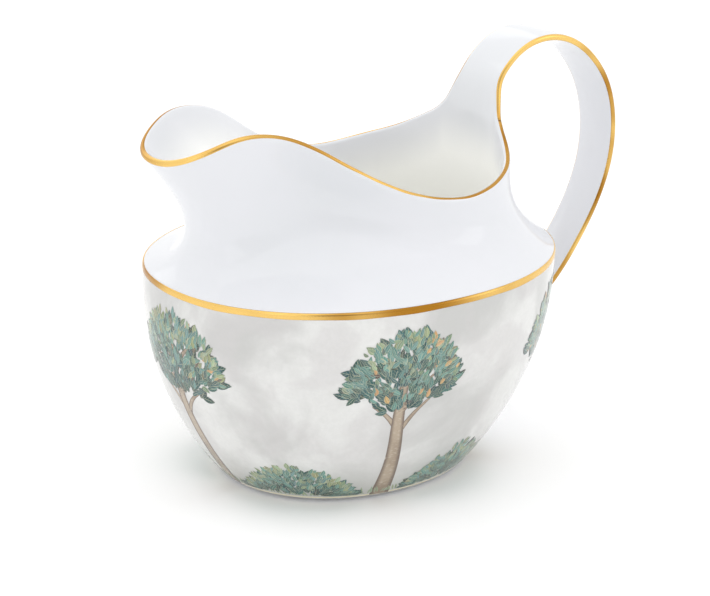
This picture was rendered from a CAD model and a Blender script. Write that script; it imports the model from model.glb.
import math

import bpy
import numpy as np
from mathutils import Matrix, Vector


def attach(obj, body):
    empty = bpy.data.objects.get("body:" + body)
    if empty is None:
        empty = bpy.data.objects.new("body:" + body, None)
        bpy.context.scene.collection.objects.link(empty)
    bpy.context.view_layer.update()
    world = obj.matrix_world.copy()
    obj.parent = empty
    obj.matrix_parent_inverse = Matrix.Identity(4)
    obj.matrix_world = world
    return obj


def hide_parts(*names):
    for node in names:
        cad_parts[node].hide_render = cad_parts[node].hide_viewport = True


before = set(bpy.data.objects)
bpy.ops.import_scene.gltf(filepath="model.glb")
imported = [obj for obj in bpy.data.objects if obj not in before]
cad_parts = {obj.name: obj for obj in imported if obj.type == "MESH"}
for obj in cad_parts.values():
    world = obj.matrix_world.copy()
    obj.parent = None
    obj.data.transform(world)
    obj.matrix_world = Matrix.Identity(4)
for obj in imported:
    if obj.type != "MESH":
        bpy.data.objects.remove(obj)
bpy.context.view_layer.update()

# Studio. A white sweep in a white tent, under four broad soft lamps: a large panel overhead,
# weaker ones to the left and the right and one behind, so that the glaze carries soft highlights.
MM = 0.001
view_turn = math.radians(-36.0)
view_rise = math.radians(18.74)
view_distance = 634.9 * MM
view_target = Vector((-3.12 * MM, 8.99 * MM, 34.95 * MM))
view_lens = 135.77

back_way = Vector((
    math.sin(view_turn) * math.cos(view_rise),
    -math.cos(view_turn) * math.cos(view_rise),
    math.sin(view_rise),
))
camera_data = bpy.data.cameras.new("studio_camera")
camera_data.lens = view_lens
camera_data.clip_start = 0.01
camera_data.clip_end = 20.0
camera = bpy.data.objects.new("studio_camera", camera_data)
camera.location = view_target + back_way * view_distance
camera.rotation_euler = back_way.to_track_quat("Z", "Y").to_euler()
bpy.context.scene.collection.objects.link(camera)
bpy.context.scene.camera = camera


def soft_lamp(name, place, aim, size, watts):
    """A square panel lamp at one place, turned to face its aim."""
    data = bpy.data.lights.new(name, "AREA")
    data.shape = "RECTANGLE"
    data.size, data.size_y = size
    data.energy = watts
    lamp = bpy.data.objects.new(name, data)
    lamp.location = place
    lamp.rotation_euler = (Vector(place) - Vector(aim)).to_track_quat("Z", "Y").to_euler()
    bpy.context.scene.collection.objects.link(lamp)
    return lamp


jug_heart = (0.0, 0.0, 0.05)
soft_lamp("overhead_panel", (-0.15, -0.10, 0.75), jug_heart, (0.9, 0.7), 0.6)
soft_lamp("left_panel", (-0.65, -0.45, 0.35), jug_heart, (0.4, 0.5), 0.5)
soft_lamp("right_panel", (0.55, -0.60, 0.40), jug_heart, (0.3, 0.5), 0.35)
soft_lamp("back_strip", (0.10, 0.70, 0.45), jug_heart, (0.8, 0.3), 0.4)

# the tent round the jug is white all over but for the dark opening that the camera looks through
opening_edge, opening_core = math.radians(36), math.radians(16)
tent_strength, opening_strength = 1.12, 0.56
world = bpy.data.worlds.new("white_tent")
world.use_nodes = True
tent = world.node_tree
tent_way = tent.nodes.new("ShaderNodeTexCoord")
tent_dot = tent.nodes.new("ShaderNodeVectorMath")
tent_dot.operation = "DOT_PRODUCT"
tent_dot.inputs[1].default_value = back_way
tent_opening = tent.nodes.new("ShaderNodeMapRange")
tent_opening.interpolation_type = "SMOOTHSTEP"
tent_opening.inputs["From Min"].default_value = math.cos(opening_edge)
tent_opening.inputs["From Max"].default_value = math.cos(opening_core)
tent_opening.inputs["To Min"].default_value = tent_strength
tent_opening.inputs["To Max"].default_value = opening_strength
tent.links.new(tent_way.outputs["Generated"], tent_dot.inputs[0])
tent.links.new(tent_dot.outputs["Value"], tent_opening.inputs["Value"])
tent.links.new(tent_opening.outputs["Result"], tent.nodes["Background"].inputs["Strength"])
tent.nodes["Background"].inputs["Color"].default_value = (1.0, 1.0, 1.0, 1.0)
bpy.context.scene.world = world
bpy.context.scene.view_settings.view_transform = "Standard"

floor_half = 6.0
floor_mesh = bpy.data.meshes.new("white_sweep")
floor_corners = [(-floor_half, -floor_half, 0), (floor_half, -floor_half, 0)]
floor_corners += [(floor_half, floor_half, 0), (-floor_half, floor_half, 0)]
floor_mesh.from_pydata(floor_corners, [], [(0, 1, 2, 3)])
floor = bpy.data.objects.new("white_sweep", floor_mesh)
bpy.context.scene.collection.objects.link(floor)
floor_paint = bpy.data.materials.new("white_sweep")
floor_paint.use_nodes = True
floor_paint.node_tree.nodes["Principled BSDF"].inputs["Base Color"].default_value = (0.985, 0.985, 0.985, 1)
floor_paint.node_tree.nodes["Principled BSDF"].inputs["Roughness"].default_value = 0.9
floor_mesh.materials.append(floor_paint)


# The body. Bone china slip is cast in a plaster mould, drained, fettled at the rim, fired, glazed
# and fired again: an oval bowl with a crisp shoulder and a waisted neck, whose wall thins to a
# rounded rim. Lengths here are millimetres, and angles run round the neck from the handle.
shoulder_x = -10.925
shoulder_half = (49.0, 42.7)
shoulder_z = 50.8
shoulder_shift = 2.5
foot_half = (29.1, 25.5)
squareness = 2.11
belly_power = 2.29
belly_fullness = 1.05
wall = 2.3
rim_wall = 1.6
rim_taper = 5.0
neck_sweep = 3.2
spout_flare = 25.0
spout_focus = 3.0
base_z = 0.8
floor_z = 3.6
inner_corner = 1.5
root_z = 78.0
root_half_width = 11.4
root_bow = 3.0
rim_points = np.array([
    (-54.0, 0.0, 80.8), (-52.6, 7.0, 81.6), (-46.8, 12.6, 84.4), (-38.0, 15.2, 86.9),
    (-29.5, 17.3, 85.7), (-18.0, 21.3, 79.3), (-5.0, 25.7, 72.0), (4.5, 28.0, 69.0),
    (13.5, 28.5, 68.2), (22.8, 26.1, 69.6), (29.8, 21.3, 71.8), (33.7, 15.2, 75.2),
    (35.2, 11.4, 78.0),
])


def spline_through(points, count, first=None, last=None):
    """A cubic through the points, spaced by chord length, whose slopes solve the tridiagonal
    system for an even second derivative; an end slope is either given or left free."""
    points = np.asarray(points, float)
    knots = np.concatenate([[0], np.cumsum(np.linalg.norm(np.diff(points, axis=0), axis=1))])
    gap = np.diff(knots)
    rise = np.diff(points, axis=0) / gap[:, None]
    size = len(points)
    system = np.zeros((size, size))
    target = np.zeros_like(points)
    inner = np.arange(1, size - 1)
    system[inner, inner - 1] = 1 / gap[:-1]
    system[inner, inner] = 2 / gap[:-1] + 2 / gap[1:]
    system[inner, inner + 1] = 1 / gap[1:]
    target[inner] = 3 * (rise[:-1] / gap[:-1, None] + rise[1:] / gap[1:, None])
    system[0, :2] = (1, 0) if first is not None else (2, 1)
    target[0] = first if first is not None else 3 * rise[0]
    system[-1, -2:] = (0, 1) if last is not None else (1, 2)
    target[-1] = last if last is not None else 3 * rise[-1]
    slope = np.linalg.solve(system, target)
    along = np.linspace(0, knots[-1], count)
    span = np.clip(np.searchsorted(knots, along, side="right") - 1, 0, size - 2)
    t = ((along - knots[span]) / gap[span])[:, None]
    h = gap[span][:, None]
    return (
        (1 + 2 * t) * (1 - t) ** 2 * points[span] + t * (1 - t) ** 2 * h * slope[span]
        + t * t * (3 - 2 * t) * points[span + 1] + t * t * (t - 1) * h * slope[span + 1]
    )


def unit(v):
    """The vectors at unit length."""
    return v / np.maximum(np.linalg.norm(v, axis=-1, keepdims=True), 1e-12)


def ease(t):
    """Smooth step: t*t*(3-2t), with t held between 0 and 1."""
    t = np.clip(t, 0, 1)
    return t * t * (3 - 2 * t)


def oval(angle, half_length, half_width):
    """Radius of a superellipse: (|cos/length|^n + |sin/width|^n)^(-1/n)."""
    along = np.abs(np.cos(angle) / half_length) ** squareness
    return (along + np.abs(np.sin(angle) / half_width) ** squareness) ** (-1 / squareness)


def bowl_radius(angle, z):
    """Bowl radius: the half axes grow from foot to shoulder by (1-(1-z/h)^p)^(1/q)."""
    rise = np.clip(z / shoulder_z, 0, 1)
    full = (1 - (1 - rise) ** belly_power) ** (1 / belly_fullness)
    half_length = foot_half[0] + (shoulder_half[0] - foot_half[0]) * full
    half_width = foot_half[1] + (shoulder_half[1] - foot_half[1]) * full
    return oval(angle, half_length, half_width)


def ring_at(radius, angle, z):
    """Points at these radii and angles about the section's middle, which slides back evenly from
    the foot's middle to the shoulder's."""
    middle = shoulder_x - shoulder_shift * (1 - np.clip(z / shoulder_z, 0, 1))
    return np.stack(np.broadcast_arrays(middle + radius * np.cos(angle), radius * np.sin(angle), z), -1)


strap_edge_rise = np.array([0.4, -2.1, 4.0])
root_slope = unit(unit(np.diff(rim_points[-2:], axis=0)[0]) + unit(strap_edge_rise))
rim_line = spline_through(rim_points, 900, (0, 1, 0), root_slope)
root_across = np.linspace(1, 0, 40)[1:]
root_line = np.stack([
    rim_points[-1, 0] + root_bow * (1 - root_across**2),
    root_half_width * root_across,
    np.full_like(root_across, root_z),
], 1)
edge_line = np.concatenate([rim_line, root_line])[::-1]
edge_turn = np.linspace(-math.pi, 2 * math.pi, 4321)
edge_angle = np.arctan2(edge_line[:, 1], edge_line[:, 0])
folded = np.abs(np.arctan2(np.sin(edge_turn), np.cos(edge_turn)))
soft = np.exp(-0.5 * (np.arange(-96, 97) / 26.0) ** 2)
soft /= soft.sum()
edge_radius = np.interp(folded, edge_angle, np.hypot(edge_line[:, 0], edge_line[:, 1]))
edge_height = np.interp(folded, edge_angle, edge_line[:, 2])
edge_radius = np.convolve(edge_radius, soft, "same")
edge_height = np.convolve(edge_height, soft, "same")
whole_turn = (edge_turn >= 0) & (edge_turn <= math.pi)
edge_turn, edge_radius, edge_height = edge_turn[whole_turn], edge_radius[whole_turn], edge_height[whole_turn]


def neck_radius(angle, z):
    """Neck radius: it runs in from the shoulder as (1-v)^sweep and leans out evenly to the rim,
    most at the spout, where v is the share of the way up; the rim's plan is softened by a bell."""
    turn = np.abs(np.arctan2(np.sin(angle), np.cos(angle)))
    top_r = np.interp(turn, edge_turn, edge_radius)
    top_z = np.interp(turn, edge_turn, edge_height)
    lean = spout_flare * ((1 - np.cos(angle)) / 2) ** spout_focus
    v = (z - shoulder_z) / (top_z - shoulder_z)
    turn_in = np.maximum(1 - v, 0) ** neck_sweep
    return top_r - lean + (oval(angle, *shoulder_half) - top_r + lean) * turn_in + lean * v


def neck_point(angle, z):
    """A point of the neck's outer skin."""
    return ring_at(neck_radius(angle, z), angle, z)


def bowl_point(angle, z):
    """A point of the bowl's outer skin."""
    return ring_at(bowl_radius(angle, z), angle, z)


def skin_normal(skin, angle, z, turn=0.002, step=0.05):
    """Outward normal of a skin: the cross product of its slopes round and up."""
    across = skin(angle + turn, z) - skin(angle - turn, z)
    return unit(np.cross(across, skin(angle, z + step) - skin(angle, z - step)))


def cavity_point(angle, z):
    """A point of the inside: the bowl's and the neck's radii, each one wall in along its slope,
    joined by the soft minimum (a+b-hypot(a-b, corner))/2."""
    def inset(radius_of, level):
        slope = (radius_of(angle, level + 0.25) - radius_of(angle, level - 0.25)) / 0.5
        return radius_of(angle, level) - wall * np.hypot(1, slope)
    from_bowl = inset(bowl_radius, np.minimum(z, shoulder_z - 0.5)) + 4 * np.maximum(z - shoulder_z, 0)
    from_neck = inset(neck_radius, np.maximum(z, shoulder_z - 5))
    soft_min = (from_bowl + from_neck - np.hypot(from_bowl - from_neck, inner_corner)) / 2
    return ring_at(np.where(z < shoulder_z - 5, from_bowl, soft_min), angle, z)


def curve_between(start, corner, end, count):
    """Rings along the quadratic curve (1-t)^2 start + 2t(1-t) corner + t^2 end, ends left out."""
    t = np.linspace(0, 1, count + 2)[1:-1, None, None]
    return list((1 - t) ** 2 * start + 2 * t * (1 - t) * corner + t * t * end)


# the rim's rounded edge: its skin stops half a wall short of the rim line, and the strap's columns
# leave the neck at the root's height
rim_run = unit(np.gradient(rim_line, axis=0))
rim_skin_angle = np.arctan2(rim_line[:, 1], rim_line[:, 0])
rim_normal = skin_normal(neck_point, rim_skin_angle, rim_line[:, 2])
rim_out = unit(np.cross(rim_run, rim_normal))
short_rim = rim_line - rim_out * rim_wall / 2
corner_run = (short_rim[-1] - short_rim[-8]) / (short_rim[-1, 2] - short_rim[-8, 2])
corner_point = short_rim[-1] + corner_run * (root_z - short_rim[-1, 2])
short_line = np.concatenate([short_rim, [corner_point]])[::-1]
short_turn = np.abs(np.arctan2(short_line[:, 1], short_line[:, 0]))
short_height = short_line[:, 2]
strap_columns = 33
fine_turn = np.linspace(-0.6, 0.6, 1201)
fine_side = neck_point(fine_turn, root_z)[:, 1]
strap_sides = np.linspace(-corner_point[1], corner_point[1], strap_columns)
strap_turn = np.interp(strap_sides, fine_side, fine_turn)
column_count = 384
free_turn = np.linspace(strap_turn[-1], 2 * math.pi + strap_turn[0], column_count - strap_columns + 2)[1:-1]
turn = np.concatenate([strap_turn, free_turn])
in_strap = np.arange(column_count) < strap_columns
folded_turn = np.abs(np.arctan2(np.sin(turn), np.cos(turn)))
top_height = np.where(in_strap, root_z, np.interp(folded_turn, short_turn, short_height))

# rings from the middle of the underside up the outside
print_inset = 0.12
base_radius = bowl_radius(turn, base_z) - 0.35
base_rings = [ring_at(share * base_radius, turn, base_z) for share in (0.3, 0.6, 0.85, 1)]
bowl_levels = np.linspace(base_z + 0.5, shoulder_z - 0.6, 44)
bowl_rings = [bowl_point(turn, level) for level in bowl_levels]
shoulder_corner = bowl_point(turn, shoulder_z)
neck_start = neck_point(turn, shoulder_z + 0.35)
shoulder_rings = curve_between(bowl_rings[-1], shoulder_corner, neck_start, 7)
neck_shares = np.linspace(0, 1, 50) ** 1.2
neck_levels = shoulder_z + 0.35 + neck_shares[:, None] * (top_height - shoulder_z - 0.35)
neck_rings = [neck_point(turn, level) for level in neck_levels]
outer = np.array(base_rings + bowl_rings + shoulder_rings + neck_rings)
outer_up = np.gradient(outer, axis=0)
outer_round = np.roll(outer, -1, axis=1) - np.roll(outer, 1, axis=1)
outer_normal = unit(np.cross(outer_round, outer_up))
first_bowl = len(base_rings)
first_neck = len(base_rings) + len(bowl_rings) + len(shoulder_rings)
inset = np.zeros(len(outer))
inset[first_bowl:first_neck + 3] = print_inset
inset[first_neck:first_neck + 3] *= (0.75, 0.5, 0.2)
outer = outer - outer_normal * inset[:, None, None]

# the rim's cap, half way round from the outer skin to the inner one
top_normal = skin_normal(neck_point, turn, top_height)
rim_run_at = np.stack([np.interp(folded_turn, short_turn[1:], rim_run[::-1, k]) for k in range(3)], 1)
rim_run_at[:, 1] *= np.where(np.sin(turn) < 0, -1, 1)
top_out = unit(np.cross(rim_run_at, top_normal) * np.where(np.sin(turn) < 0, -1, 1)[:, None])
rim_half = rim_wall / 2
strap_column = np.minimum(np.arange(column_count), strap_columns - 1)
across_strap = np.abs(np.linspace(-1, 1, strap_columns))[strap_column]
edge_share = np.where(in_strap, 1 - ease((across_strap - 0.2) / 0.8), 0)
top_half = rim_half + edge_share * (wall / 2 - rim_half)
cap_turns = np.linspace(0, math.pi, 13)
cap_middle = outer[-1] - top_normal * top_half[:, None]
cap_rings = [
    cap_middle + top_half[:, None] * (math.cos(a) * top_normal + math.sin(a) * top_out)
    for a in cap_turns[1:-1]
]

# rings down the inside, and across the floor
inner_shares = np.linspace(1, 0, 42) ** 1.1
inner_levels = shoulder_z + 1.0 + inner_shares[:, None] * (top_height - shoulder_z - 1.0)
inner_rings = []
for share, level in zip(inner_shares, inner_levels):
    below = top_height - level
    half = top_half + (wall / 2 - top_half) * (1 - np.exp(-below / rim_taper))
    from_skin = neck_point(turn, level) - 2 * half[:, None] * skin_normal(neck_point, turn, level)
    keep = ease((share - 0.12) / 0.5)
    inner_rings.append(keep * from_skin + (1 - keep) * cavity_point(turn, level))
inner_rings += [cavity_point(turn, level) for level in np.linspace(shoulder_z, floor_z + 4, 34)]
floor_edge = cavity_point(turn, floor_z)
floor_middle = np.array([shoulder_x - shoulder_shift * (1 - floor_z / shoulder_z), 0, floor_z])
floor_start = floor_edge + unit(floor_middle - floor_edge) * 5.5
inner_rings += curve_between(inner_rings[-1], floor_edge, floor_start, 7)
inner_rings += [floor_start + (floor_middle - floor_start) * share for share in (0, 0.3, 0.6, 0.85)]

rings = np.array(list(outer) + cap_rings + inner_rings)
outer_top = len(outer) - 1
inner_top = len(outer) + len(cap_rings)
ring_total = len(rings)
base_middle = np.array([[shoulder_x - shoulder_shift * (1 - base_z / shoulder_z), 0, base_z]])
body_points = np.concatenate([rings.reshape(-1, 3), base_middle, floor_middle[None]])
ids = np.arange(ring_total * column_count).reshape(ring_total, column_count)
after = np.roll(ids, -1, axis=1)
quads = np.stack([ids[:-1], after[:-1], after[1:], ids[1:]], -1)
between_strap = in_strap & np.roll(in_strap, -1)
solid = np.ones(quads.shape[:2], bool)
solid[outer_top:inner_top, between_strap] = False
body_quads = quads[solid]
base_fan = np.stack([np.full(column_count, ids.size), after[0], ids[0]], -1)
floor_fan = np.stack([np.full(column_count, ids.size + 1), ids[-1], after[-1]], -1)


# The handle. A strap is cast in its own mould, flat on one face and a little dished, curved
# into a high loop, and luted to the neck and the bowl with slip while both are leather hard. At
# the neck its faces run on from the wall and its edges from the rim.
strap_stations = np.array([
    (35.6, 82.0, 9.3, 2.0), (37.6, 86.3, 7.6, 1.2), (40.8, 90.2, 7.1, 0.7), (45.8, 93.6, 7.1, 0.4),
    (52.8, 94.9, 7.2, 0.3), (60.0, 93.1, 7.1, 0.3), (66.6, 88.3, 6.9, 0.3), (71.8, 81.0, 6.6, 0.3),
    (74.4, 71.6, 6.2, 0.3), (74.0, 62.0, 5.9, 0.3), (70.6, 52.2, 5.7, 0.3), (64.6, 42.6, 5.7, 0.3),
    (55.8, 33.2, 6.2, 0.3),
])
strap_middle = 2.5
strap_edge = 1.6
landing_z = 25.4
landing_half_width = 7.2
luting_flare = 1.0
luting_length = 2.2
root_fade = 15.0

landing_x = ring_at(bowl_radius(0.0, landing_z), 0.0, landing_z)[0] - shoulder_x
strap_path = np.concatenate([
    [(rim_points[-1, 0] - wall / 2, root_z, root_half_width, root_bow)],
    strap_stations,
    [(landing_x - wall / 2, landing_z, landing_half_width, 0.3)],
])
strap_line = spline_through(strap_path, 190, (0.30, 0.72, -0.59, -0.25))
strap_x, strap_z, strap_half, strap_bow = strap_line.T
strap_run = unit(np.gradient(strap_line[:, :2], axis=0))
strap_length = np.concatenate([[0], np.cumsum(np.linalg.norm(np.diff(strap_line[:, :2], axis=0), axis=1))])
to_end = strap_length[-1] - strap_length
flare = luting_flare * np.exp(-to_end / luting_length)
strap_half = strap_half + flare
across = np.linspace(-1, 1, strap_columns)
half_thick = (strap_edge + (strap_middle - strap_edge) * (1 - across**2)) / 2
half_thick = half_thick[None] + 0.6 * flare[:, None]
side = across[None] * (strap_half - half_thick[:, 0])[:, None]
face = np.stack([strap_run[:, 1], 0 * strap_x, -strap_run[:, 0]], -1)[:, None]
bow = strap_bow[:, None] * (1 - (side / strap_half[:, None]) ** 2)
middle_line = np.stack([strap_x + shoulder_x, 0 * strap_x, strap_z], -1)[:, None]
sideways = np.array([0.0, 1.0, 0.0])
strap_mid = middle_line + face * bow[..., None] + sideways * side[..., None]
tip_slope = (2 * strap_bow[:, None] * side / strap_half[:, None] ** 2)[..., None]
strap_normal = unit(face + sideways * tip_slope)
strap_under = strap_mid + strap_normal * half_thick[..., None]
strap_over = strap_mid - strap_normal * half_thick[..., None]
strap_out = unit(sideways - face * tip_slope)


def strap_cap(column, outward):
    """The strap's rounded edge: half circles about the mid line, from the under face over."""
    turns = cap_turns[1:-1][None, :, None]
    middle, normal = strap_mid[:, column, None], strap_normal[:, column, None]
    out = strap_out[:, column, None] * outward
    return middle + half_thick[:, column, None, None] * (np.cos(turns) * normal + np.sin(turns) * out)


strap_rings = np.concatenate(
    [strap_under, strap_cap(-1, 1), strap_over[:, ::-1], strap_cap(0, -1)[:, ::-1]], axis=1
)
corner_right, corner_left = 0, strap_columns - 1
root_ids = np.concatenate([
    ids[outer_top, :strap_columns],
    ids[outer_top + 1:inner_top, corner_left],
    ids[inner_top, :strap_columns][::-1],
    ids[outer_top + 1:inner_top, corner_right][::-1],
])
root_ring = body_points[root_ids]
fade = 1 - ease(strap_length / root_fade)
strap_rings = strap_rings + fade[:, None, None] * (root_ring - strap_rings[0])[None]
ring_size = strap_rings.shape[1]

# both meshes are shaded as one skin across their seam
end_middle = strap_rings[-1].mean(axis=0, keepdims=True)
all_points = np.concatenate([body_points, strap_rings[1:].reshape(-1, 3), end_middle])
strap_ids = np.concatenate([
    root_ids[None], len(body_points) + np.arange((len(strap_rings) - 1) * ring_size).reshape(-1, ring_size),
])
strap_next = np.roll(strap_ids, -1, axis=1)
strap_quads = np.stack([strap_ids[:-1], strap_next[:-1], strap_next[1:], strap_ids[1:]], -1).reshape(-1, 4)
end_fan = np.stack([strap_ids[-1], strap_next[-1], np.full(ring_size, len(all_points) - 1)], -1)
bulkhead = [tuple(row) for row in np.stack([
    ids[outer_top, :strap_columns - 1], ids[outer_top, 1:strap_columns],
    ids[inner_top, 1:strap_columns], ids[inner_top, :strap_columns - 1],
], -1)]
bulkhead.append(tuple(ids[outer_top:inner_top + 1, corner_left]))
bulkhead.append(tuple(ids[outer_top:inner_top + 1, corner_right][::-1]))


def skin_normals(points, quads, fans):
    """Vertex normals: the sum of the area vectors of every face that meets at the vertex."""
    total = np.zeros_like(points)
    for faces in [quads] + fans:
        area = np.cross(points[faces[:, 2]] - points[faces[:, 0]], points[faces[:, -1]] - points[faces[:, 1]])
        for corner in range(faces.shape[1]):
            np.add.at(total, faces[:, corner], area)
    return unit(total)


inside_share = np.zeros(len(all_points), np.float32)
inside_share[ids[inner_top:]] = ease((top_height - rings[inner_top:, :, 2]) / 13.0)
inside_share[len(ids.ravel()) + 1] = 1.0
skin_quads = np.concatenate([body_quads, strap_quads])
shared_normals = skin_normals(all_points, skin_quads, [base_fan, floor_fan, end_fan])


def new_piece(name, points, faces, uv=None):
    """A smooth mesh object at the origin from points in millimetres and faces as index rows; uv
    holds one pair for each point."""
    faces = [tuple(int(k) for k in face) for face in faces]
    mesh = bpy.data.meshes.new(name)
    mesh.from_pydata((np.asarray(points) * MM).tolist(), [], faces)
    mesh.polygons.foreach_set("use_smooth", np.array([len(face) < 5 for face in faces]))
    if uv is not None:
        layer = mesh.uv_layers.new(name="lay")
        corner = np.empty(len(mesh.loops), np.int32)
        mesh.loops.foreach_get("vertex_index", corner)
        layer.data.foreach_set("uv", np.asarray(uv, np.float32)[corner].ravel())
    mesh.update()
    piece = bpy.data.objects.new(name, mesh)
    bpy.context.scene.collection.objects.link(piece)
    return piece


def part_of_skin(name, faces):
    """One piece of the shared skin, with the shared normals kept as its own."""
    used = np.unique(np.concatenate([np.ravel(face) for face in faces]))
    place = np.zeros(len(all_points), np.int64)
    place[used] = np.arange(len(used))
    piece = new_piece(name, all_points[used], [place[np.asarray(face)] for face in faces])
    piece.data.normals_split_custom_set_from_vertices(shared_normals[used].tolist())
    piece.data.attributes.new("inside", "FLOAT", "POINT").data.foreach_set("value", inside_share[used])
    return piece


def tone(red, green, blue):
    """A display colour, 0 to 255, as the linear colour that a shader takes."""
    share = np.array([red, green, blue]) / 255
    linear = np.where(share <= 0.04045, share / 12.92, ((share + 0.055) / 1.055) ** 2.4)
    return (*linear.tolist(), 1.0)


class Paint:
    """A node material under construction: nodes are added by type and joined by name."""

    def __init__(self, name, **sockets):
        self.material = bpy.data.materials.new(name)
        self.material.use_nodes = True
        self.tree = self.material.node_tree
        self.shader = self.tree.nodes["Principled BSDF"]
        for socket, value in sockets.items():
            self.shader.inputs[socket.replace("_", " ")].default_value = value

    def node(self, kind, inputs=None, **settings):
        """One node, with its settings and its inputs as values or as sockets to join."""
        node = self.tree.nodes.new(kind)
        for setting, value in settings.items():
            setattr(node, setting, value)
        for socket, value in (inputs or {}).items():
            if isinstance(value, bpy.types.NodeSocket):
                self.tree.links.new(value, node.inputs[socket])
            else:
                node.inputs[socket].default_value = value
        return node

    def place(self):
        """Object coordinates."""
        return self.node("ShaderNodeTexCoord").outputs["Object"]

    def noise(self, scale, detail=3.0, vector=None, **inputs):
        """Noise over the piece at this scale, in cycles to the metre."""
        inputs = {"Scale": scale, "Detail": detail, "Vector": vector or self.place(), **inputs}
        return self.node("ShaderNodeTexNoise", inputs).outputs["Fac"]

    def spread(self, value, low, high, to_low=0.0, to_high=1.0):
        """The value carried smoothly from one range to another."""
        settings = {"Value": value, "From Min": low, "From Max": high, "To Min": to_low, "To Max": to_high}
        return self.node("ShaderNodeMapRange", settings, interpolation_type="SMOOTHSTEP").outputs["Result"]

    def sum(self, kind, first, second):
        """Arithmetic on two values."""
        return self.node("ShaderNodeMath", {0: first, 1: second}, operation=kind).outputs[0]

    def blend(self, share, first, second, kind="MIX"):
        """Two colours mixed by a share; the mix node's colour sockets are its seventh and eighth."""
        node = self.node("ShaderNodeMix", data_type="RGBA", blend_type=kind)
        for socket, value in ((0, share), (6, first), (7, second)):
            if isinstance(value, bpy.types.NodeSocket):
                self.tree.links.new(value, node.inputs[socket])
            else:
                node.inputs[socket].default_value = value
        return node.outputs[2]

    def bump(self, height, distance, strength=1.0):
        """A normal from a height."""
        inputs = {"Height": height, "Distance": distance, "Strength": strength}
        return self.node("ShaderNodeBump", inputs).outputs["Normal"]

    def feed(self, **sockets):
        """Join sockets to the shader."""
        for socket, value in sockets.items():
            self.tree.links.new(value, self.shader.inputs[socket.replace("_", " ")])


def glaze_surface():
    """Node group: the fired glaze's slow ripple and rare pinholes, as a normal, and the slight
    change in its gloss."""
    group = bpy.data.node_groups.new("glaze_surface", "ShaderNodeTree")
    group.interface.new_socket(name="Vector", in_out="INPUT", socket_type="NodeSocketVector")
    group.interface.new_socket(name="Normal", in_out="OUTPUT", socket_type="NodeSocketVector")
    group.interface.new_socket(name="Roughness", in_out="OUTPUT", socket_type="NodeSocketFloat")
    start = group.nodes.new("NodeGroupInput")
    end = group.nodes.new("NodeGroupOutput")
    ripple = group.nodes.new("ShaderNodeTexNoise")
    ripple.inputs["Scale"].default_value = 60
    ripple.inputs["Detail"].default_value = 2
    pits = group.nodes.new("ShaderNodeTexVoronoi")
    pits.inputs["Scale"].default_value = 240
    pit_mask = group.nodes.new("ShaderNodeMapRange")
    pit_mask.inputs["From Min"].default_value = 0.02
    pit_mask.inputs["From Max"].default_value = 0.07
    slow = group.nodes.new("ShaderNodeBump")
    slow.inputs["Distance"].default_value = 0.0001
    slow.inputs["Strength"].default_value = 0.35
    fine = group.nodes.new("ShaderNodeBump")
    fine.inputs["Distance"].default_value = 0.00002
    fine.inputs["Strength"].default_value = 0.3
    gloss = group.nodes.new("ShaderNodeMapRange")
    gloss.inputs["To Min"].default_value = 0.05
    gloss.inputs["To Max"].default_value = 0.11
    links = group.links
    links.new(start.outputs["Vector"], ripple.inputs["Vector"])
    links.new(start.outputs["Vector"], pits.inputs["Vector"])
    links.new(ripple.outputs["Fac"], slow.inputs["Height"])
    links.new(pits.outputs["Distance"], pit_mask.inputs["Value"])
    links.new(pit_mask.outputs["Result"], fine.inputs["Height"])
    links.new(slow.outputs["Normal"], fine.inputs["Normal"])
    links.new(ripple.outputs["Fac"], gloss.inputs["Value"])
    links.new(fine.outputs["Normal"], end.inputs["Normal"])
    links.new(gloss.outputs["Result"], end.inputs["Roughness"])
    return group


glaze = glaze_surface()


def under_glaze(paint):
    """Lay the glaze over a paint: the group feeds its normal and roughness."""
    coat = paint.node("ShaderNodeGroup", node_tree=glaze)
    paint.tree.links.new(paint.place(), coat.inputs["Vector"])
    paint.feed(Normal=coat.outputs["Normal"], Roughness=coat.outputs["Roughness"])


china = Paint("glazed_china", IOR=1.52, Emission_Strength=0.08)
china_white = tone(224, 225, 229)
china_pooled = tone(221, 223, 226)
china_inside = tone(247, 247, 244)
china_skin = china.blend(china.spread(china.noise(25.0), 0.35, 0.7), china_white, china_pooled)
inside = china.node("ShaderNodeAttribute", attribute_name="inside").outputs["Fac"]
china.feed(Base_Color=china.blend(inside, china_skin, china_inside))
china.feed(Emission_Color=china.blend(inside, (0.0, 0.0, 0.0, 1.0), tone(255, 254, 249)))
under_glaze(china)

body_faces = list(body_quads) + list(base_fan) + list(floor_fan) + bulkhead
body = part_of_skin("body_china", body_faces)
body.data.materials.append(china.material)
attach(body, "root")
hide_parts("body")

handle_faces = list(strap_quads) + list(end_fan) + [face[::-1] for face in bulkhead]
handle = part_of_skin("handle_china", handle_faces)
handle.data.materials.append(china.material)
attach(handle, "root")
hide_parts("handle")


# The gilding. Liquid gold is brushed on over the glaze by hand, round the rim, along both edges
# of the strap and round the shoulder, and fired on as a film that is burnished afterwards: it
# is a little uneven along its borders.
gilt_lift = 0.03
gilt_sunk = 0.05
rim_gilt_start, rim_gilt_end = math.radians(38), math.radians(112)
spout_gilt_start, spout_gilt_end = math.radians(-5), math.radians(178)
strap_gilt_start, strap_gilt_end = math.radians(20), math.radians(166)
gilt_fade = 9.0

edge_base = outer[-1]
rim_order = np.concatenate([[corner_left], np.arange(strap_columns, column_count), [corner_right]])


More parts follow.
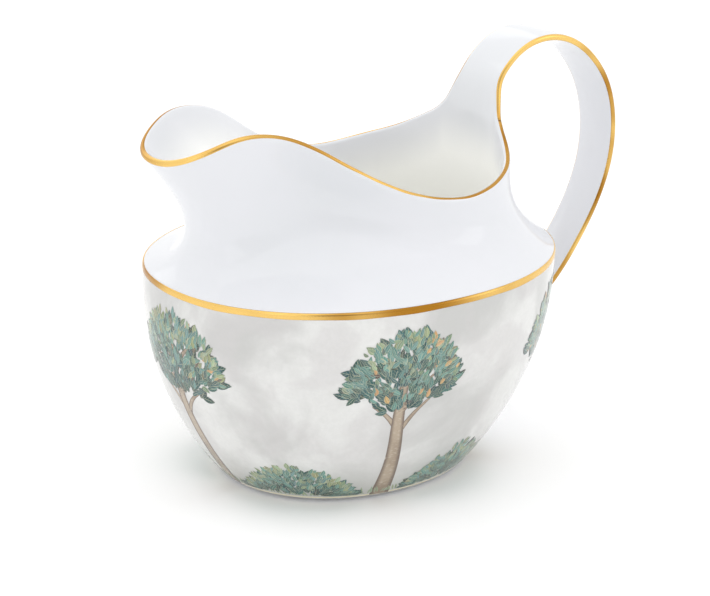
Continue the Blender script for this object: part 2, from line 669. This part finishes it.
def gilt_sections(edge, normal, out, half, start, end):
    """Closed sections round a rounded edge of this half thickness: an arc from the start angle to
    the end one, measured from the outer skin, one film proud, with both borders sunk."""
    half, start, end = (np.broadcast_to(v, len(edge))[:, None, None] for v in (half, start, end))
    share = np.linspace(0, 1, 16)[None, :, None]
    lift_stops = (-gilt_sunk, 0.5 * gilt_lift, gilt_lift, gilt_lift, 0.5 * gilt_lift, -gilt_sunk)
    lift = np.interp(share, (0, 0.05, 0.12, 0.88, 0.95, 1), lift_stops)
    angle = start + share * (end - start)
    middle = edge[:, None] - normal[:, None] * half
    return middle + (half + lift) * (np.cos(angle) * normal[:, None] + np.sin(angle) * out[:, None])


def tube_faces(count, size, closed=False):
    """Quads between closed sections, with a flat face at each open end."""
    grid = np.arange(count * size).reshape(count, size)
    if closed:
        grid = np.concatenate([grid, grid[:1]])
    beside = np.roll(grid, -1, axis=1)
    faces = list(np.stack([grid[:-1], grid[1:], beside[1:], beside[:-1]], -1).reshape(-1, 4))
    return faces if closed else faces + [grid[0], grid[-1][::-1]]


gold = Paint("burnished_gold", Metallic=1.0)
gold_deep = tone(164, 112, 32)
gold_pale = tone(236, 196, 114)
brush = gold.node("ShaderNodeMapping", {"Vector": gold.place(), "Scale": (1.0, 1.0, 2.0)}).outputs["Vector"]
gold.feed(Base_Color=gold.blend(gold.spread(gold.noise(30.0, 2.0, brush), 0.3, 0.65), gold_deep, gold_pale))
gold.feed(Roughness=gold.spread(gold.noise(200.0, 2.0, brush), 0.2, 0.8, 0.2, 0.3))
gold.feed(Normal=gold.bump(gold.noise(700.0, 2.0, brush), 0.00001, 0.3))


def gild(name, points, faces, node):
    """One gilt line on the root body, standing for its node."""
    piece = new_piece(name, points, faces)
    piece.data.materials.append(gold.material)
    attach(piece, "root")
    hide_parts(node)
    return piece


rim_turns = turn[rim_order]
at_spout = np.exp(-((rim_turns - math.pi - 0.12) / 0.3) ** 2)
uneven = 0.06 * np.sin(9 * rim_turns + 1) + 0.04 * np.sin(23 * rim_turns)
rim_sections = gilt_sections(
    edge_base[rim_order], top_normal[rim_order], top_out[rim_order], rim_half,
    rim_gilt_start + (spout_gilt_start - rim_gilt_start) * at_spout + uneven,
    rim_gilt_end + (spout_gilt_end - rim_gilt_end) * at_spout + uneven,
)
gilt_size = rim_sections.shape[1]
rim_faces = [face[::-1] for face in tube_faces(len(rim_order), gilt_size)]
gild("gilt_rim_line", rim_sections.reshape(-1, 3), rim_faces, "gilt_rim")

fresh = np.exp(-strap_length / gilt_fade)
for label, column, outward, corner in (("left", 0, -1, corner_right), ("right", -1, 1, corner_left)):
    edge = strap_rings[:, 0 if column == 0 else strap_columns - 1]
    normal = unit(strap_normal[:, column] + fade[:, None] * (top_normal[corner] - strap_normal[0, column]))
    out = strap_out[:, column] * outward
    out = unit(out + fade[:, None] * (top_out[corner] - out[0]))
    half = half_thick[:, column] + fade * (rim_half - half_thick[0, column])
    wander = 0.05 * np.sin(strap_length / 4.0 + column) * (1 - fresh)
    start = strap_gilt_start + (rim_gilt_start + uneven[0] - strap_gilt_start) * fresh + wander
    end = strap_gilt_end + (rim_gilt_end + uneven[0] - strap_gilt_end) * fresh + wander
    sections = gilt_sections(edge, normal, out, half, start, end)
    faces = tube_faces(len(edge), gilt_size)
    if outward < 0:
        faces = [face[::-1] for face in faces]
    gild("gilt_strap_line_" + label, sections.reshape(-1, 3), faces, "gilt_handle_" + label)

band_turn = np.linspace(0, 2 * math.pi, 361)[:-1]
band_low = 49.35 + 0.06 * np.sin(7 * band_turn) + 0.04 * np.sin(19 * band_turn + 2)
band_rings = [bowl_point(band_turn, band_low - 0.04), bowl_point(band_turn, band_low)]
band_rise = shoulder_z - 0.6 - band_low
band_rings += [bowl_point(band_turn, band_low + band_rise * share) for share in (0.1, 0.4, 0.7, 1)]
band_corner = bowl_point(band_turn, shoulder_z)
band_rings += curve_between(band_rings[-1], band_corner, neck_point(band_turn, shoulder_z + 0.35), 7)[:5]
band = np.array(band_rings + [band_rings[-1]])
band_in = band - np.array([shoulder_x, 0, 0])
band_in[..., 2] = 0
band_depth = np.full(len(band), 0.02)
band_depth[[0, -1]] = 0.5
band_depth[1] = 0.06
band = band - unit(band_in) * band_depth[:, None, None]
band[-1, :, 2] -= 0.4
band_sections = band.transpose(1, 0, 2)
gild("gilt_shoulder_line", band_sections.reshape(-1, 3),
     [f[::-1] for f in tube_faces(360, len(band), closed=True)], "gilt_shoulder")


# The foot. A low ring is cast with the bowl, and its face is wiped free of glaze before
# firing so that it does not stick to the kiln shelf, then polished smooth.
foot_middle = 3.1
foot_half_width = 1.1
foot_turn = np.linspace(0, 2 * math.pi, 241)[:-1]
foot_round = np.linspace(-math.pi / 2, math.pi / 2, 13)
foot_side = np.concatenate([[-1.0, -1.0], np.sin(foot_round), [1.0, 1.0]])
foot_height = np.concatenate([[1.0, 0.7], 0.5 - 0.5 * np.abs(np.cos(foot_round)) ** 0.7, [0.7, 1.0]])
foot_radius = bowl_radius(foot_turn, base_z)[:, None] - foot_middle + foot_half_width * foot_side[None]
foot_points = ring_at(foot_radius, foot_turn[:, None], base_z)
foot_points[..., 2] = foot_height[None]

bare = Paint("bare_polished_china", Specular_IOR_Level=0.4)
bare_grain = bare.spread(bare.noise(400.0, 5.0), 0.3, 0.7)
bare_tone = bare.blend(bare_grain, tone(226, 221, 209), tone(240, 237, 229))
height_of = bare.node("ShaderNodeSeparateXYZ", {"Vector": bare.place()}).outputs["Z"]
glazed_share = bare.spread(height_of, 0.0004, 0.0007)
bare.feed(Base_Color=bare.blend(glazed_share, bare_tone, china_white))
bare.feed(Roughness=bare.spread(height_of, 0.0004, 0.0007, 0.55, 0.1))
bare.feed(Normal=bare.bump(bare.noise(2500.0, 3.0), 0.00002, 0.5))
foot = new_piece("foot_ring_china", foot_points.reshape(-1, 3), tube_faces(240, len(foot_side), closed=True))
foot.data.materials.append(bare.material)
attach(foot, "root")
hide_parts("foot_ring")


# The print's ground. The frieze is a transfer, cut as two sheets that meet under the spout and
# stop short of the handle, slid on wet and fired into the glaze: its ground is a mottled
# grey wash with a thin cream line at the foot.
print_low = 1.15
print_high = 49.4
bare_half_width = 9.5
ground_depth = 0.07
foot_line_high = 1.7


def on_bowl(angle, z, depth):
    """A point of the print: the bowl's skin, moved in along its normal by a depth."""
    return bowl_point(angle, z) - skin_normal(bowl_point, angle, z) * np.asarray(depth)[..., None]


def sheet_faces(rows, columns, flip=False):
    """Quads of an open grid."""
    grid = np.arange(rows * columns).reshape(rows, columns)
    quads = np.stack([grid[:-1, :-1], grid[:-1, 1:], grid[1:, 1:], grid[1:, :-1]], -1).reshape(-1, 4)
    return quads[:, ::-1] if flip else quads


def watercolour():
    """Node group: the wash's cloudy mottle in three sizes, and the grain of the printed tint."""
    group = bpy.data.node_groups.new("watercolour", "ShaderNodeTree")
    group.interface.new_socket(name="Vector", in_out="INPUT", socket_type="NodeSocketVector")
    for name in ("Cloud", "Patch", "Grain"):
        group.interface.new_socket(name=name, in_out="OUTPUT", socket_type="NodeSocketFloat")
    start = group.nodes.new("NodeGroupInput")
    end = group.nodes.new("NodeGroupOutput")
    for name, scale, detail, low, high in (
        ("Cloud", 42.0, 5.0, 0.38, 0.62), ("Patch", 95.0, 4.0, 0.42, 0.66), ("Grain", 900.0, 3.0, 0.3, 0.7)
    ):
        noise = group.nodes.new("ShaderNodeTexNoise")
        noise.inputs["Scale"].default_value = scale
        noise.inputs["Detail"].default_value = detail
        noise.inputs["Distortion"].default_value = 0.6
        spread = group.nodes.new("ShaderNodeMapRange")
        spread.interpolation_type = "SMOOTHSTEP"
        spread.inputs["From Min"].default_value = low
        spread.inputs["From Max"].default_value = high
        group.links.new(start.outputs["Vector"], noise.inputs["Vector"])
        group.links.new(noise.outputs["Fac"], spread.inputs["Value"])
        group.links.new(spread.outputs["Result"], end.inputs[name])
    return group


wash = watercolour()


def washed(paint):
    """The watercolour group's outputs, laid on a paint."""
    node = paint.node("ShaderNodeGroup", node_tree=wash)
    paint.tree.links.new(paint.place(), node.inputs["Vector"])
    return node.outputs


ground = Paint("printed_ground", IOR=1.52)
ground_wash = washed(ground)
clouds = ground.blend(ground_wash["Cloud"], tone(196, 196, 194), tone(224, 224, 222))
patches = ground.blend(ground.sum("MULTIPLY", ground_wash["Patch"], 0.45), clouds, tone(202, 199, 199))
grained = ground.blend(ground.sum("MULTIPLY", ground_wash["Grain"], 0.12), patches, tone(186, 187, 182))
ground_split = ground.node("ShaderNodeSeparateXYZ", {"Vector": ground.place()})
ground_height = ground_split.outputs["Z"]
paler = ground.spread(ground_split.outputs["X"], 0.008, 0.036, 0.0, 0.6)
grained = ground.blend(paler, grained, tone(238, 238, 236))
above_line = ground.spread(ground_height, (foot_line_high - 0.15) * MM, (foot_line_high + 0.15) * MM)
low_tint = ground.spread(ground_height, 0.003, 0.014, 0.25, 0.0)
tinted = ground.blend(low_tint, grained, tone(176, 182, 172))
ground.feed(Base_Color=ground.blend(above_line, tone(236, 228, 200), tinted))
under_glaze(ground)

for label, sign, node in (("left", -1, "transfer_left"), ("right", 1, "transfer_right")):
    sheet_z = np.linspace(print_low, print_high, 64)[:, None]
    sheet_start = np.arcsin(bare_half_width / bowl_radius(0.3, sheet_z))
    sheet_turn = sign * (sheet_start + (math.pi - sheet_start) * np.linspace(0, 1, 221)[None])
    sheet_points = on_bowl(sheet_turn, sheet_z + 0 * sheet_turn, ground_depth + 0 * sheet_turn)
    sheet = new_piece("print_ground_" + label, sheet_points.reshape(-1, 3), sheet_faces(64, 221, sign < 0))
    sheet.data.materials.append(ground.material)
    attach(sheet, "root")
    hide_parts(node)


# The printed trees. A plain row of like trees, evenly spaced round the bowl and laid out by rule:
# an upright tapering trunk with paired limbs, in taupe with darker sides and fine light strokes
# across the bark. Turns are degrees round the bowl from the handle, then height and width.
tree_depth = 0.055
tree_turns = (36, 108, 180, 252, 324)
trunk = [(0, 1.3, 4.8), (0, 12, 3.7), (0, 24, 2.9), (0, 38, 1.6)]
limbs = [
    [(0, low, 1.5), (4 * side, low + 4.5, 1.1), (9 * side, low + 8, 0.6)]
    for low in (20, 26, 32) for side in (-1, 1)
]


def strip_on_bowl(stations, depth):
    """A strip along a spline through (turn, height, width) stations: seven points across, spread
    square to the path in the skin's own millimetres."""
    line = spline_through(np.asarray(stations, float), max(6, int(len(stations) * 9)))
    line_turn, line_z, width = np.radians(line[:, 0]), line[:, 1], np.maximum(line[:, 2], 0.3)
    radius = bowl_radius(line_turn, line_z)
    climb = np.hypot(1, (bowl_radius(line_turn, line_z + 0.2) - bowl_radius(line_turn, line_z - 0.2)) / 0.4)
    run = unit(np.stack([np.gradient(line_turn) * radius, np.gradient(line_z) * climb], -1))
    share = np.linspace(-1, 1, 7)[None]
    off = share * width[:, None] / 2
    point_turn = line_turn[:, None] + run[:, 1, None] * off / radius[:, None]
    point_z = line_z[:, None] - run[:, 0, None] * off / climb[:, None]
    point_z = np.clip(point_z, print_low + 0.05, print_high - 0.02)
    along = np.cumsum(np.hypot(*np.stack([np.gradient(line_turn) * radius, np.gradient(line_z) * climb])))
    lay = np.stack(np.broadcast_arrays(along[:, None] * 0.1, share), -1)
    return on_bowl(point_turn, point_z, depth + 0 * point_z).reshape(-1, 3), lay.reshape(-1, 2), len(line)


def join_strips(lines, depths):
    """Strips as one point list, with their faces and their lay."""
    points, lays, faces, count = [], [], [], 0
    for line, depth in zip(lines, depths):
        strip_points, lay, rows = strip_on_bowl(line, depth)
        points.append(strip_points)
        lays.append(lay)
        faces.append(sheet_faces(rows, 7)[:, ::-1] + count)
        count += len(strip_points)
    return np.concatenate(points), np.concatenate(faces), np.concatenate(lays)


sower = np.random.default_rng(11)
tree_lines, tree_depths = [], []
for tree_turn in tree_turns:
    for order, line in enumerate(limbs + [trunk]):
        placed = np.array(line, float)
        placed[1:, 0] += sower.normal(0, 0.5, len(placed) - 1)
        placed[:, 0] += tree_turn
        tree_lines.append(placed)
        tree_depths.append(tree_depth - 0.0005 * order)

bark = Paint("printed_bark", IOR=1.52)
bark_lay = bark.node("ShaderNodeUVMap", uv_map="lay").outputs["UV"]
bark_split = bark.node("ShaderNodeSeparateXYZ", {"Vector": bark_lay})
bark_side = bark.sum("ABSOLUTE", bark_split.outputs["Y"], 0.0)
stroke_lay = bark.node("ShaderNodeMapping", {"Vector": bark_lay, "Scale": (34.0, 1.6, 1.0)}).outputs["Vector"]
knot_lay = bark.node("ShaderNodeMapping", {"Vector": bark_lay, "Scale": (1.5, 0.42, 1.0)}).outputs["Vector"]
strokes = bark.spread(bark.noise(1.0, 3.0, stroke_lay), 0.52, 0.68)
knots = bark.node("ShaderNodeTexVoronoi", {"Vector": knot_lay, "Scale": 1.0}).outputs["Distance"]
bark_wash = washed(bark)
bark_tone = bark.blend(bark_wash["Patch"], tone(152, 135, 117), tone(178, 162, 142))
bark_tone = bark.blend(bark.sum("MULTIPLY", strokes, 0.55), bark_tone, tone(206, 195, 178))
bark_tone = bark.blend(bark.spread(bark_side, 0.35, 0.95, 0.0, 0.85), bark_tone, tone(108, 93, 84))
bark_tone = bark.blend(bark.spread(knots, 0.10, 0.16, 0.8, 0.0), bark_tone, tone(214, 204, 188))
bark_tone = bark.blend(bark.spread(knots, 0.05, 0.09, 0.9, 0.0), bark_tone, tone(78, 66, 60))
bark.feed(Base_Color=bark_tone)
under_glaze(bark)


def printed(name, points, faces, lay, paint):
    """A printed layer on the root body, over the ground."""
    piece = new_piece(name, points, faces, lay)
    piece.data.materials.append(paint.material)
    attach(piece, "root")
    return piece


printed("print_trees", *join_strips(tree_lines, tree_depths), bark)


# The printed leaves. A round crown on each tree, a low shrub between two trees and a line of grass
# at the foot, all of small brush-like leaves in teal, sage and tan with a pale rib and rim.
leaf_t = np.concatenate([[0], np.repeat(np.arange(1, 6) / 6, 3), [1]])
leaf_s = np.concatenate([[0], np.tile([-1, 0, 1], 5), [0]])
leaf_swell = np.sin(math.pi * leaf_t**0.8) ** 0.85
leaf_faces = [(0, 2, 1), (0, 3, 2)]
for row in range(4):
    low = 1 + 3 * row
    leaf_faces += [(low, low + 1, low + 4), (low, low + 4, low + 3)]
    leaf_faces += [(low + 1, low + 2, low + 5), (low + 1, low + 5, low + 4)]
leaf_faces += [(13, 14, 16), (14, 15, 16)]
leaf_faces = np.array(leaf_faces)[:, ::-1]

deep, teal, sage, olive = (46, 88, 88), (84, 132, 128), (146, 162, 134), (138, 146, 108)
dusk, moss, tan, umber = (66, 80, 74), (112, 134, 108), (200, 152, 102), (88, 74, 68)
picker = np.random.default_rng(7)
leaves = []


def lay_leaf(turn_at, z, way, length, width, colour, rim, bend=0.0, spread=9):
    """Add one leaf: where its stalk is, which way it points in degrees, its size and its tint."""
    tint = np.clip(np.array(colour) + picker.normal(0, spread, 3) * 0.35 + picker.normal(0, spread), 20, 250)
    leaves.append((turn_at, z, way, length, width, bend, *tone(*tint)[:3], rim))


def bush(outline, foot, count, size, warm=0.0):
    """Leaves under an outline of (turn, height) points and over a foot outline: large dark ones
    first, then smaller lighter ones towards the top, fanning out from the bush's middle."""
    outline, foot = np.array(outline, float), np.array(foot, float)
    middle = outline[:, 0].mean()
    half = np.ptp(outline[:, 0]) / 2
    for stage, share in ((0, 0.36), (1, 0.38), (2, 0.26)):
        for _ in range(int(count * share)):
            at = picker.uniform(outline[0, 0], outline[-1, 0])
            top = np.interp(at, outline[:, 0], outline[:, 1]) - (2.6, 1.6, 1.0)[stage]
            low = np.interp(at, foot[:, 0], foot[:, 1])
            lift = picker.uniform(0, 1) ** (1.0, 0.8, 0.55)[stage]
            z = low + (top - low) * lift
            way = 90 - 70 * (at - middle) / half * (1 - 0.4 * lift) + picker.normal(0, 30)
            scale = size * picker.uniform(0.7, 1.25) * (1.35, 1.0, 0.8)[stage]
            if stage == 0:
                colour = deep if picker.uniform() < 0.8 else dusk
            elif picker.uniform() < warm:
                colour = (tan, umber, tan)[picker.integers(3)]
            else:
                light = lift + picker.normal(0, 0.28)
                colour = deep if light < 0.3 else teal
                if light >= 0.75:
                    colour = (teal, moss, olive, sage)[picker.integers(4)]
            width, rim = scale * picker.uniform(0.38, 0.52), (0.05, 0.35, 0.7)[stage]
            lay_leaf(at, z, way, scale, width, colour, rim, picker.normal(0, 0.1))


for blade_turn in np.arange(14.0, 347.0, 1.6):
    lay_leaf(blade_turn, 1.9, 90 + picker.normal(0, 18), picker.uniform(1.6, 3.4), 0.5, sage, 0.2)
for left_tree in tree_turns[:-1]:
    middle = left_tree + 36
    bush([(middle - 22, 4), (middle - 13, 9.5), (middle, 12.5), (middle + 13, 9.5), (middle + 22, 4)],
         [(middle - 22, 1.9), (middle + 22, 1.9)], 380, 2.5)
for tree_turn in tree_turns:
    dome = [(tree_turn + 17 * math.cos(a), 33 + 13 * math.sin(a)) for a in np.linspace(math.pi, 0, 9)]
    hollow = [(tree_turn - 17, 31), (tree_turn - 8, 26), (tree_turn + 8, 26), (tree_turn + 17, 31)]
    bush(dome, hollow, 520, 2.6, warm=0.06)

leaf = np.array(leaves)
at, z0, way, length, width, bend = leaf[:, :6].T
at, way = np.radians(at), np.radians(way)
run = length[:, None] * leaf_t
side = width[:, None] / 2 * leaf_swell * leaf_s + bend[:, None] * length[:, None] * 2 * leaf_t * (1 - leaf_t)
move_round = run * np.cos(way)[:, None] - side * np.sin(way)[:, None]
move_up = run * np.sin(way)[:, None] + side * np.cos(way)[:, None]
slope = np.hypot(1, (bowl_radius(at, z0 + 0.2) - bowl_radius(at, z0 - 0.2)) / 0.4)[:, None]
leaf_z = np.clip(z0[:, None] + move_up / slope, print_low + 0.7, print_high - 0.03)
leaf_turn = at[:, None] + move_round / bowl_radius(at, z0)[:, None]
leaf_depth = np.linspace(0.045, -0.02, len(leaf))[:, None] + 0 * leaf_z
leaf_points = on_bowl(leaf_turn, leaf_z, leaf_depth)
cells = int(math.ceil(math.sqrt(len(leaf))))
cell = np.arange(len(leaf))
cell_at = np.stack([cell % cells, cell // cells], -1)[:, None]
cell_lay = (cell_at + 0.1 + 0.8 * np.stack([leaf_t, (leaf_s * leaf_swell + 1) / 2], -1)[None]) / cells
lay = np.broadcast_to(np.stack([leaf_t, leaf_s], -1), (len(leaf), len(leaf_t), 2))
all_leaf_faces = (leaf_faces[None] + (len(leaf_t) * cell)[:, None, None]).reshape(-1, 3)

foliage = Paint("printed_foliage", IOR=1.52)
tint = foliage.node("ShaderNodeAttribute", attribute_name="tint")
leaf_lay = foliage.node("ShaderNodeUVMap", uv_map="lay").outputs["UV"]
leaf_split = foliage.node("ShaderNodeSeparateXYZ", {"Vector": leaf_lay})
leaf_side = foliage.sum("ABSOLUTE", leaf_split.outputs["Y"], 0.0)
foliage_wash = washed(foliage)
leaf_tone = foliage.blend(
    foliage.sum("MULTIPLY", foliage_wash["Grain"], 0.35), tint.outputs["Color"],
    (1.12, 1.12, 1.1, 1), "MULTIPLY",
)
shaded_half = foliage.spread(leaf_split.outputs["Y"], -0.15, 0.25, 0.0, 0.3)
leaf_tone = foliage.blend(shaded_half, leaf_tone, (0.35, 0.4, 0.4, 1), "MULTIPLY")
rib = foliage.spread(leaf_side, 0.04, 0.16, 0.45, 0.0)
rib_run = foliage.sum("MULTIPLY", leaf_split.outputs["X"], 34.0)
rib_slant = foliage.sum("MULTIPLY", leaf_side, -6.0)
ribs = foliage.sum("SINE", foliage.sum("ADD", rib_run, rib_slant), 0.0)
side_ribs = foliage.spread(ribs, 0.55, 1.0, 0.0, 0.22)
leaf_tone = foliage.blend(foliage.sum("MAXIMUM", rib, side_ribs), leaf_tone, tone(214, 216, 190))
rim = foliage.sum("MULTIPLY", foliage.spread(leaf_side, 0.62, 0.92, 0.0, 0.75), tint.outputs["Alpha"])
leaf_tone = foliage.blend(rim, leaf_tone, tone(226, 220, 186))
foliage.feed(Base_Color=leaf_tone)
under_glaze(foliage)

leaf_points, lay = leaf_points.reshape(-1, 3), lay.reshape(-1, 2)
foliage_piece = printed("print_foliage", leaf_points, all_leaf_faces, lay, foliage)
tint_layer = foliage_piece.data.color_attributes.new("tint", "FLOAT_COLOR", "POINT")
tint_layer.data.foreach_set("color", np.repeat(leaf[:, 6:10], len(leaf_t), axis=0).astype(np.float32).ravel())
bake_layer = foliage_piece.data.uv_layers.new(name="OFBake")
loop_point = np.empty(len(foliage_piece.data.loops), np.int32)
foliage_piece.data.loops.foreach_get("vertex_index", loop_point)
bake_layer.data.foreach_set("uv", cell_lay.reshape(-1, 2).astype(np.float32)[loop_point].ravel())
